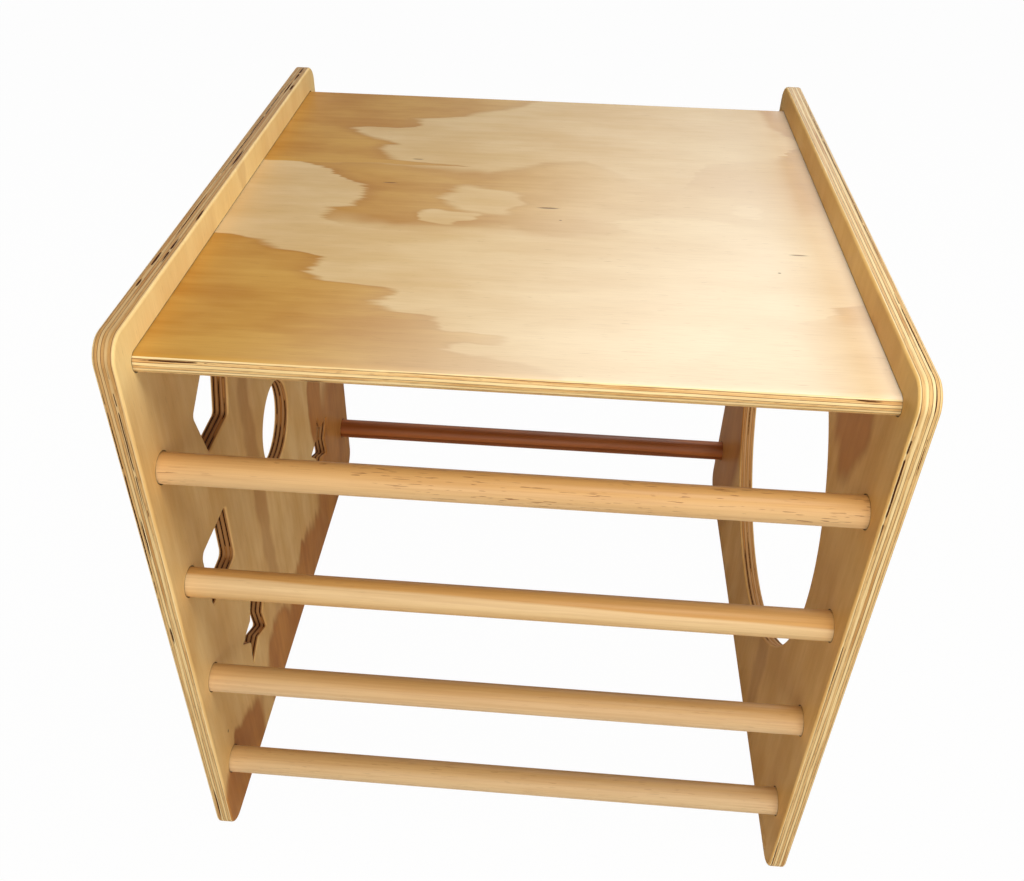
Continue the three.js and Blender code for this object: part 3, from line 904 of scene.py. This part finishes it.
def turnSolid(work, profile, steps, place, axis):  # a profile of radius and distance along the axis
    side = axis.orthogonal().normalized()
    other = axis.cross(side)
    rings = []
    for radius, along in profile:
        centre = Vector(place) + axis * along
        if not callable(radius) and radius == 0:
            rings.append([work.verts.new(centre)])
            continue
        ring = []
        for i in range(steps):
            angle = math.tau * i / steps
            reach = radius(angle) if callable(radius) else radius
            ring.append(work.verts.new(centre + (side * math.cos(angle) + other * math.sin(angle)) * reach))
        rings.append(ring)
    if profile[0][0] != 0:  # a sleeve closes on itself
        rings.append(rings[0])
    for first, second in zip(rings, rings[1:]):
        bridge(work, first, second)


def plug(radius, start, end):  # the profile of a plain cylinder
    return [(0, start), (radius, start), (radius, end), (0, end)]


def carve(piece, cutters):
    for cutter in cutters:
        cut = piece.modifiers.new('cut', 'BOOLEAN')
        cut.operation = 'DIFFERENCE'
        cut.solver = 'EXACT'
        cut.object = cutter
    bpy.context.view_layer.update()
    seen = piece.evaluated_get(bpy.context.evaluated_depsgraph_get())
    carved = bpy.data.meshes.new_from_object(seen)
    piece.modifiers.clear()
    piece.data = carved
    for cutter in cutters:
        bpy.data.objects.remove(cutter)


def finishPiece(piece, material, slotName, *nodes):
    smoothFaces(piece)
    piece.data.materials.clear()
    piece.data.materials.append(material)
    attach(piece, 'root')
    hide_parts(*nodes)


# Side panels

sidePanel = {
    'cornerRadius': 22 * mm,
    'cornerSteps': 12,
    'edgeRound': 3 * mm,
    'roundSteps': 6,
    'socketRadius': 14.8 * mm,
    'socketDepth': 8 * mm,
    'socketSteps': 56,
    'boltHoleRadius': 3.5 * mm,
    'recessRadius': 8.4 * mm,
    'recessDepth': 2.8 * mm,
    'recessSteps': 40,
    'housingDepth': 5 * mm,
    'housingGap': 0.7 * mm,
    'housingRound': 8.7 * mm,
    'housingSteps': 8,
    'overrun': 2 * mm,
}
cutouts = {  # shares are places, from the panel's middle, of half its size
    'crawlHoleRadius': 219 * mm,
    'crawlHoleSteps': 160,
    'circleRadius': 52 * mm,
    'circleSteps': 72,
    'squareSide': 72 * mm,
    'squareRound': 6.5 * mm,
    'squareShares': (0.674, 0.0),
    'pentagonRadius': 51.5 * mm,
    'pentagonRound': 6 * mm,
    'pentagonShares': (0.503, 0.482),
    'starRadius': 48 * mm,
    'starNotch': 24 * mm,
    'starTipRound': 1.5 * mm,
    'starNotchRound': 4 * mm,
    'starShares': (0.503, -0.51),
    'roundSteps': 6,
    'starSteps': 5,
}
panelMiddle = Vector((0, panelHigh.z / 2))


def cutoutMiddle(way, shares):
    return panelMiddle + Vector((way * shares[0] * panelHigh.y, shares[1] * panelHigh.z / 2))


def leftCutouts(sizes):
    loops = [circleLoop(panelMiddle, sizes['circleRadius'], sizes['circleSteps'])]
    steps = sizes['roundSteps']
    corner = Vector((1, 1)) * sizes['squareSide'] / 2
    fifths = [math.tau * i / 5 for i in range(5)]
    for way in (-1, 1):
        centre = cutoutMiddle(way, sizes['squareShares'])
        loops.append(rectangleLoop(centre - corner, centre + corner, sizes['squareRound'], steps))
        centre = cutoutMiddle(way, sizes['pentagonShares'])
        points = [centre + pointUp(sizes['pentagonRadius'], angle) for angle in fifths]
        loops.append(roundedLoop([(point, sizes['pentagonRound']) for point in points], steps))
        centre = cutoutMiddle(way, sizes['starShares'])
        corners = []
        for angle in fifths:
            notch = pointUp(sizes['starNotch'], angle + math.pi / 5)
            corners.append((centre + pointUp(sizes['starRadius'], angle), sizes['starTipRound']))
            corners.append((centre + notch, sizes['starNotchRound']))
        loops.append(roundedLoop(corners, sizes['starSteps']))
    return loops


def panelCutters(sizes, sign):
    outward = across * sign
    over = sizes['overrun']
    recessFloor = outerX - sizes['recessDepth']
    socketFloor = innerX + sizes['socketDepth']
    housingFloor = innerX + sizes['housingDepth']
    outside = [(sizes['boltHoleRadius'], recessFloor), (sizes['recessRadius'], recessFloor),
               (sizes['recessRadius'], outerX + over), (0, outerX + over)]
    inside = [(0, innerX - over), (sizes['socketRadius'], innerX - over),
              (sizes['socketRadius'], socketFloor), (sizes['boltHoleRadius'], socketFloor)]
    through = [(0, housingFloor - over / 2), (sizes['boltHoleRadius'], housingFloor - over / 2)]
    work = bmesh.new()
    for name in rungNodes:
        middle = middleOf(name)
        turnSolid(work, inside + outside, sizes['socketSteps'], (0, middle.y, middle.z), outward)
    for i in topBoltNumbers:
        middle = middleOf(f'top_bolt_right_{i}')
        turnSolid(work, through + outside, sizes['recessSteps'], (0, middle.y, middle.z), outward)
    gap = sizes['housingGap']
    outline = rectangleLoop((topLow.y - gap, topLow.z - gap), (topHigh.y + gap, topHigh.z + gap),
                            sizes['housingRound'], sizes['housingSteps'])
    lowX = innerX - over if sign > 0 else -housingFloor
    housing = slab('housing', outline, [], lowX, sizes['housingDepth'] + over, 0, 1)
    return [asObject(work, 'drills'), housing]


def makeSidePanel(side, sizes, holes):
    sign = sides[side]
    outline = rectangleLoop((panelLow.y, panelLow.z), (panelHigh.y, panelHigh.z), sizes['cornerRadius'],
                            sizes['cornerSteps'])
    lowX = innerX if sign > 0 else -outerX
    panel = slab(f'sidePanel.{side}', outline, holes, lowX, outerX - innerX, sizes['edgeRound'],
                 sizes['roundSteps'])
    carve(panel, panelCutters(sizes, sign))
    finishPiece(panel, materials[side], 'side_plywood', f'side_panel_{side}')


crawlHole = circleLoop(panelMiddle, cutouts['crawlHoleRadius'], cutouts['crawlHoleSteps'])
makeSidePanel('left', sidePanel, leftCutouts(cutouts))
makeSidePanel('right', sidePanel, [crawlHole])
print('side panels made')

# Top panel

topPanel = {
    'edgeRound': 8 * mm,
    'edgeSteps': 8,
    'endRound': 0.4 * mm,
    'endSteps': 2,
    'boreRadius': 5.3 * mm,
    'boreDepth': 15.3 * mm,
    'boreSteps': 32,
    'boltHoleRadius': 3.5 * mm,
    'boltHoleDepth': 42 * mm,
    'boltHoleSteps': 24,
    'overrun': 2 * mm,
}


def makeTopPanel(sizes):
    outline = rectangleLoop((topLow.y, topLow.z), (topHigh.y, topHigh.z), sizes['edgeRound'],
                            sizes['edgeSteps'])
    panel = slab('topPanel', outline, [], topLow.x, topHigh.x - topLow.x, sizes['endRound'],
                 sizes['endSteps'])
    bore = plug(sizes['boreRadius'], -sizes['overrun'], sizes['boreDepth'])
    hole = plug(sizes['boltHoleRadius'], topHigh.x - sizes['boltHoleDepth'], topHigh.x + sizes['overrun'])
    bores, holes = bmesh.new(), bmesh.new()
    for side, sign in sides.items():
        for i in topBoltNumbers:
            nut = middleOf(f'top_barrel_nut_{side}_{i}')
            turnSolid(bores, bore, sizes['boreSteps'], (nut.x, nut.y, topLow.z), upward)
            turnSolid(holes, hole, sizes['boltHoleSteps'], (0, nut.y, nut.z), across * sign)
    carve(panel, [asObject(bores, 'bores'), asObject(holes, 'holes')])
    finishPiece(panel, materials['top'], 'top_plywood', 'top_panel')


makeTopPanel(topPanel)
print('top panel made')

# Rungs, bored at both ends for the insert nuts

rung = {
    'chamfer': 1 * mm,
    'chamferSteps': 4,
    'steps': 72,
    'ringShares': (0.75, 0.5, 0.25, 0.0),
    'boreRadius': 5.3 * mm,
    'boreDepth': 35.2 * mm,
}


def makeRung(name, sizes):
    low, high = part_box(name)
    middle = (low + high) / 2
    radius, half, chamfer = (high.z - low.z) / 2, high.x, sizes['chamfer']
    bore = sizes['boreRadius']
    profile = [(0, half - sizes['boreDepth']), (bore, half - sizes['boreDepth']), (bore, half)]
    profile += [(radius - chamfer * (1 - math.sin(angle)), half - chamfer * (1 - math.cos(angle)))
                for angle in quarterTurn(sizes['chamferSteps'])]
    profile += [(radius, half * share) for share in sizes['ringShares']]
    profile += [(reach, -along) for reach, along in reversed(profile[:-1])]
    work = bmesh.new()
    turnSolid(work, profile, sizes['steps'], (0, middle.y, middle.z), across)
    piece = asObject(work, name.replace('_rung', 'Rung').replace('_', '.'))
    finishPiece(piece, pineDowel(f'pine.{name}', dowels[name], middle), 'pine_dowel', name)


for name in rungNodes:
    makeRung(name, rung)
print('rungs made')

# Bolts, with a flat head, a hexagon socket and a thread

bolt = {
    'headRadius': 8 * mm,
    'headHeight': 2.5 * mm,
    'headRound': 0.7 * mm,
    'headRoundSteps': 4,
    'headChamfer': 0.2 * mm,
    'shankRadius': 3 * mm,
    'threadDepth': 0.4 * mm,
    'threadLength': 24 * mm,
    'pitch': 1 * mm,
    'crestShare': 0.4,
    'rootShare': 0.9,
    'runOutShare': 0.5,
    'keyWidth': 4 * mm,
    'keyDepth': 1.8 * mm,
    'keyLead': 0.25 * mm,
    'steps': 36,
}


def hexagon(width):  # radius of a hexagon that measures width across its flats, at an angle
    return lambda angle: width / 2 / math.cos((angle + math.pi / 6) % (math.pi / 3) - math.pi / 6)


def boltProfile(sizes, length):
    shank, head, top, pitch = sizes['shankRadius'], sizes['headRadius'], sizes['headHeight'], sizes['pitch']
    root = shank - sizes['threadDepth']
    profile = [(root, -length)]
    turns = int(sizes['threadLength'] / pitch)
    for turn in range(turns):
        profile.append((shank, -length + pitch * (turn + sizes['crestShare'])))
        profile.append((root, -length + pitch * (turn + sizes['rootShare'])))
    chamfer, rounding = sizes['headChamfer'], sizes['headRound']
    profile += [(shank, -length + pitch * (turns + sizes['runOutShare'])), (shank, 0)]
    profile += [(head - chamfer, 0), (head, chamfer)]
    for angle in quarterTurn(sizes['headRoundSteps']):
        profile.append((head - rounding * (1 - math.cos(angle)), top - rounding * (1 - math.sin(angle))))
    lead, floor = sizes['keyLead'], top - sizes['keyDepth']
    mouth, key = hexagon(sizes['keyWidth'] + 2 * lead), hexagon(sizes['keyWidth'])
    return [(0, -length), *profile, (mouth, top), (key, top - lead), (key, floor), (0, floor - lead)]


def makeBolt(name, sizes, sign):
    low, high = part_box(name)
    length = high.x - low.x - sizes['headHeight']
    underHead = (high.x if sign > 0 else -low.x) - sizes['headHeight']
    place = (sign * underHead, (low.y + high.y) / 2, (low.z + high.z) / 2)
    work = bmesh.new()
    turnSolid(work, boltProfile(sizes, length), sizes['steps'], place, across * sign)
    piece = asObject(work, name.replace('_', '.'))
    finishPiece(piece, materials['zinc'], 'zinc_steel', name)


# Insert nuts, with a coarse thread outside and a bore for the bolt

insert = {
    'radius': 5 * mm,
    'rootRadius': 4.3 * mm,
    'boreRadius': 3.15 * mm,
    'pitch': 2.5 * mm,
    'crestShare': 0.6,
    'crestWidth': 0.3 * mm,
    'flankWidth': 0.8 * mm,
    'lead': 0.5 * mm,
    'steps': 32,
}


def insertProfile(sizes, length):
    outside, root, bore, lead = sizes['radius'], sizes['rootRadius'], sizes['boreRadius'], sizes['lead']
    profile = [(bore, -length), (root, -length)]
    for turn in range(int(length / sizes['pitch']) - 1):
        crest = -length + sizes['pitch'] * (turn + sizes['crestShare'])
        crestEnd = crest + sizes['crestWidth']
        nextFlank = crest + sizes['pitch'] - sizes['flankWidth']
        profile += [(outside, crest), (outside, crestEnd)]
        profile += [(root, crestEnd + sizes['flankWidth']), (root, nextFlank)]
    return profile + [(outside, -lead * 2), (outside, 0), (bore + lead, 0), (bore, -lead)]


def makeInsert(name, sizes, sign):
    low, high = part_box(name)
    place = (sign * (high.x if sign > 0 else -low.x), (low.y + high.y) / 2, (low.z + high.z) / 2)
    work = bmesh.new()
    turnSolid(work, insertProfile(sizes, high.x - low.x), sizes['steps'], place, across * sign)
    piece = asObject(work, name.replace('_', '.'))
    finishPiece(piece, materials['zinc'], 'zinc_steel', name)


# Barrel nuts, upright in the top, with a cross hole for the bolt and a screwdriver slot below

barrelNut = {
    'radius': 5 * mm,
    'edgeRound': 0.5 * mm,
    'edgeShare': 0.3,
    'steps': 40,
    'crossRadius': 3.2 * mm,
    'crossSteps': 32,
    'slotWidth': 1.4 * mm,
    'slotDepth': 1.2 * mm,
    'slotRound': 0.1 * mm,
    'slotSteps': 2,
}


def makeBarrelNut(name, sizes):
    low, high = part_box(name)
    middle = (low + high) / 2
    half, radius, soft = (high.z - low.z) / 2, sizes['radius'], sizes['edgeRound']
    less = soft * sizes['edgeShare']
    profile = [(0, -half), (radius - soft, -half), (radius - less, -half + less), (radius, -half + soft),
               (radius, half - soft), (radius - less, half - less), (radius - soft, half), (0, half)]
    work, cross = bmesh.new(), bmesh.new()
    turnSolid(work, profile, sizes['steps'], middle, upward)
    turnSolid(cross, plug(sizes['crossRadius'], -2 * radius, 2 * radius), sizes['crossSteps'], middle, across)
    piece = asObject(work, name.replace('_', '.'))
    halfSlot, depth = sizes['slotWidth'] / 2, sizes['slotDepth']
    outline = rectangleLoop((middle.y - halfSlot, low.z - depth), (middle.y + halfSlot, low.z + depth),
                            sizes['slotRound'], sizes['slotSteps'])
    slot = slab('slot', outline, [], middle.x - 2 * radius, 4 * radius, 0, 1)
    carve(piece, [asObject(cross, 'cross'), slot])
    finishPiece(piece, materials['zinc'], 'zinc_steel', name)


for side, sign in sides.items():
    for name in rungNodes:
        makeBolt(f'{name}_bolt_{side}', bolt, sign)
        makeInsert(f'{name}_insert_{side}', insert, sign)
    for i in topBoltNumbers:
        makeBolt(f'top_bolt_{side}_{i}', bolt, sign)
        makeBarrelNut(f'top_barrel_nut_{side}_{i}', barrelNut)
print('fixings made')

# Floor and light: a white studio with a soft lamp above on the right, one in front, one like a window
# behind and a weak one at each side, for the outer faces

studio = {
    'floorHalf': 8.0,
    'floorTone': 'd3ccc0',
    'floorRoughness': 0.9,
    'whiteShare': 0.98,
    'skyStrength': 0.08,
    'lamps': {
        'keyLamp': {'place': (0.30, -0.47, 1.50), 'aim': (0.12, -0.15, 0.6), 'size': 0.6, 'power': 7.7},
        'frontLamp': {'place': (0.2, -2.25, 1.15), 'aim': (0.0, 0.0, 0.35), 'size': 1.8, 'power': 35.5},
        'windowLamp': {'place': (0.42, 1.7, 1.68), 'aim': (0.14, -0.1, 0.63), 'size': 1.1, 'power': 14},
        'leftLamp': {'place': (-2.3, 0.1, 0.42), 'aim': (0.0, 0.0, 0.36), 'size': 0.7, 'power': 18},
        'rightLamp': {'place': (2.3, 0.0, 1.0), 'aim': (0.0, 0.0, 0.5), 'size': 1.0, 'power': 6},
    },
}


def makeFloor(setup):
    work = bmesh.new()
    reach = setup['floorHalf']
    corners = [(-reach, -reach, 0), (reach, -reach, 0), (reach, reach, 0), (-reach, reach, 0)]
    work.faces.new([work.verts.new(corner) for corner in corners])
    floor = asObject(work, 'floor')
    made, tree, shader = newMaterial('floorWhite')
    shader.inputs['Base Color'].default_value = tone(setup['floorTone'])
    shader.inputs['Roughness'].default_value = setup['floorRoughness']
    white = node(tree, 'ShaderNodeEmission', [('Color', (1, 1, 1, 1)), ('Strength', 1.0)])
    path = node(tree, 'ShaderNodeLightPath')
    share = times(tree, path.outputs['Is Camera Ray'], setup['whiteShare'])
    both = node(tree, 'ShaderNodeMixShader', [(0, share), (1, shader.outputs[0]), (2, white.outputs[0])])
    tree.links.new(both.outputs[0], tree.nodes['Material Output'].inputs['Surface'])
    floor.data.materials.append(made)


def makeWorld(setup):
    world = bpy.data.worlds.new('studio')
    world.use_nodes = True
    tree = world.node_tree
    path = node(tree, 'ShaderNodeLightPath').outputs
    seen = higher(tree, path['Is Camera Ray'], path['Is Glossy Ray'])
    seen = higher(tree, seen, path['Is Transmission Ray'])
    background = tree.nodes['Background']
    background.inputs['Color'].default_value = (1, 1, 1, 1)
    feed(tree, background.inputs['Strength'], ranged(tree, seen, setup['skyStrength'], 1.0))
    bpy.context.scene.world = world


def makeLamp(name, setup):
    data = bpy.data.lights.new(name, 'AREA')
    data.shape = 'DISK'
    data.size = setup['size']
    data.energy = setup['power']
    lamp = bpy.data.objects.new(name, data)
    lamp.location = setup['place']
    lamp.rotation_euler = (Vector(setup['aim']) - Vector(setup['place'])).to_track_quat('-Z', 'Y').to_euler()
    lamp.visible_camera = False
    bpy.context.scene.collection.objects.link(lamp)


makeFloor(studio)
makeWorld(studio)
for name, setup in studio['lamps'].items():
    makeLamp(name, setup)
bpy.context.scene.view_settings.view_transform = 'Standard'
print('studio made')
